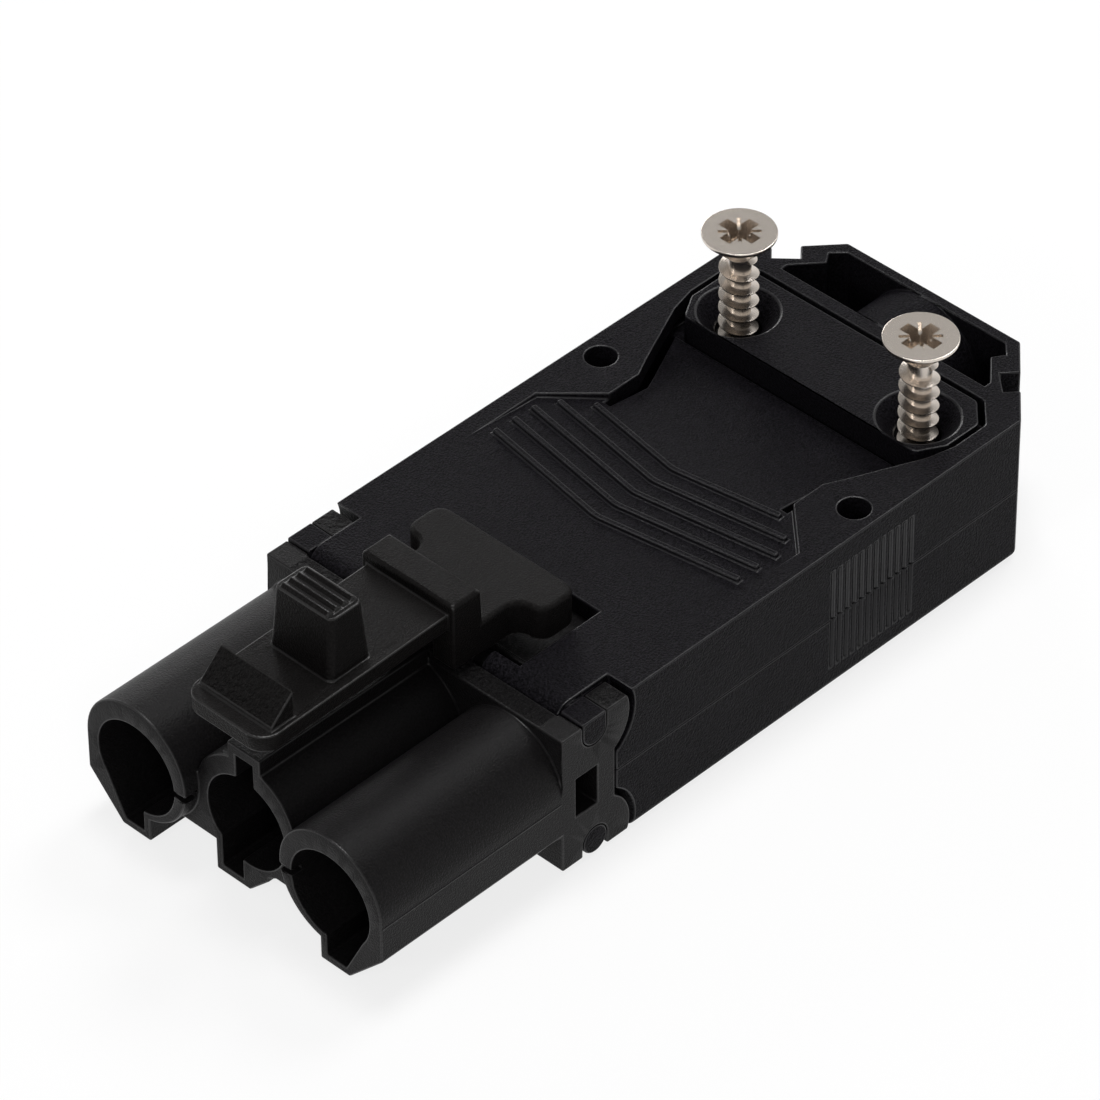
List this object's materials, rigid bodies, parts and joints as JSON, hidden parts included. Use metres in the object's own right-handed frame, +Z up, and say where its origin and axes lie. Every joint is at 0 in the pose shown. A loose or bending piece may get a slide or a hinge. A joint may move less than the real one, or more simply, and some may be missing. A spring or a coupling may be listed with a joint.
{
  "type": "rewireable power connector",
  "caption": "Flat black installation connector: keyed tubes and a latch lever in front, hinged shells behind, and a cable clamp bar with raised screws.",
  "frame": {"origin": "under the middle of the overall length and width, on the surface that the connector lies on", "axes": "+X across the poles, +Y towards the cable end, +Z up"},
  "size_m": [0.03, 0.0746, 0.024],
  "materials": {
    "block_plastic": "black, fine moulded texture, slightly warm",
    "shell_plastic": "black, fine moulded grain, slightly cool",
    "retainer_plastic": "light grey, smooth",
    "plated_steel": "nickel plated, bright",
    "contact_metal": "tin plated, satin",
    "terminal_brass": "bare, satin"
  },
  "bodies": {
    "housing": {"contact_block": "block_plastic", "contact_retainer": "retainer_plastic", "upper_shell": "shell_plastic", "contact_pin_line": "contact_metal", "contact_pin_earth": "contact_metal", "contact_pin_neutral": "contact_metal", "terminal_cage_line": "terminal_brass", "terminal_cage_earth": "terminal_brass", "terminal_cage_neutral": "terminal_brass"},
    "lower_shell": {"lower_shell": "shell_plastic"},
    "latch_lever": {"latch_lever": "block_plastic"},
    "clamp_bar": {"clamp_bar": "shell_plastic"},
    "clamp_screw_left": {"clamp_screw_left": "plated_steel"},
    "clamp_screw_right": {"clamp_screw_right": "plated_steel"},
    "terminal_screw_line": {"terminal_screw_line": "plated_steel", "pressure_plate_line": "plated_steel"},
    "terminal_screw_earth": {"terminal_screw_earth": "plated_steel", "pressure_plate_earth": "plated_steel"},
    "terminal_screw_neutral": {"terminal_screw_neutral": "plated_steel", "pressure_plate_neutral": "plated_steel"}
  },
  "joints": [
    {"name": "lower_shell_hinge", "type": "hinge", "parent": "housing", "child": "lower_shell", "pos_m": [0, -0.01535, 0.0015], "axis": [-1, 0, 0], "range_deg": [0, 65]},
    {"name": "latch_lever_hinge", "type": "hinge", "parent": "housing", "child": "latch_lever", "pos_m": [0, -0.01535, 0.0119], "axis": [1, 0, 0], "range_deg": [0, 8], "stiffness_Nm_per_rad": 0.3, "springref_deg": -5.73},
    {"name": "clamp_bar_lift", "type": "slide", "parent": "housing", "child": "clamp_bar", "axis": [0, 0, 1], "range_m": [0, 0.003]},
    {"name": "clamp_screw_left_travel", "type": "slide", "parent": "clamp_bar", "child": "clamp_screw_left", "axis": [0, 0, 1], "range_m": [-0.0076, 0.0025]},
    {"name": "clamp_screw_right_travel", "type": "slide", "parent": "clamp_bar", "child": "clamp_screw_right", "axis": [0, 0, 1], "range_m": [-0.0076, 0.0025]},
    {"name": "terminal_screw_line_travel", "type": "slide", "parent": "housing", "child": "terminal_screw_line", "axis": [0, 0, 1], "range_m": [0, 0.0012]},
    {"name": "terminal_screw_earth_travel", "type": "slide", "parent": "housing", "child": "terminal_screw_earth", "axis": [0, 0, 1], "range_m": [0, 0.0012]},
    {"name": "terminal_screw_neutral_travel", "type": "slide", "parent": "housing", "child": "terminal_screw_neutral", "axis": [0, 0, 1], "range_m": [0, 0.0012]}
  ]
}
